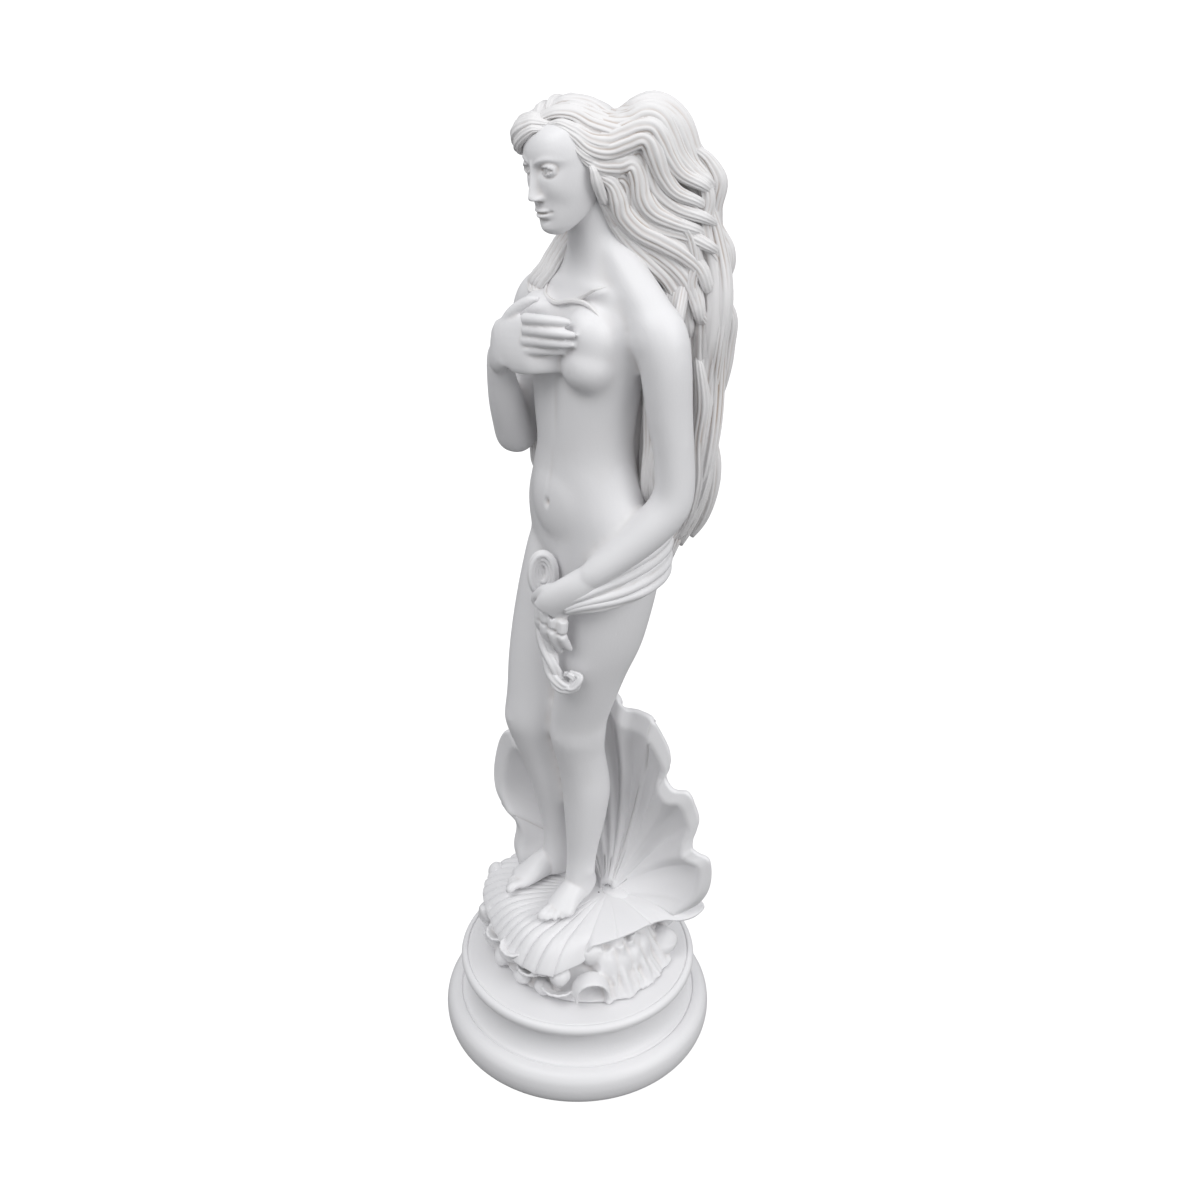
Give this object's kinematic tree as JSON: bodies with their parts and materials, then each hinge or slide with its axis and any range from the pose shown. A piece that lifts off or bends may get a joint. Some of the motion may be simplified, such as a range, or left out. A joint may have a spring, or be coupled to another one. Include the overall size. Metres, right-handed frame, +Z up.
{
  "type": "aphrodite statue",
  "caption": "Standing Aphrodite in the modest pose on an open scallop shell over rockwork, cast in white resin on a round stepped plinth.",
  "frame": {"origin": "centre of the plinth's underside", "axes": "+Z up; -Y is the way the figure's chest faces; +X is to her left"},
  "size_m": [0.0866, 0.0866, 0.2993],
  "materials": {
    "white_resin": "satin white cast resin, with a faint warm tint left in the recesses of the hair",
    "white_plinth_resin": "satin white cast resin, smooth"
  },
  "bodies": {
    "root": {"aphrodite": "white_resin", "plinth": "white_plinth_resin"}
  },
  "joints": []
}
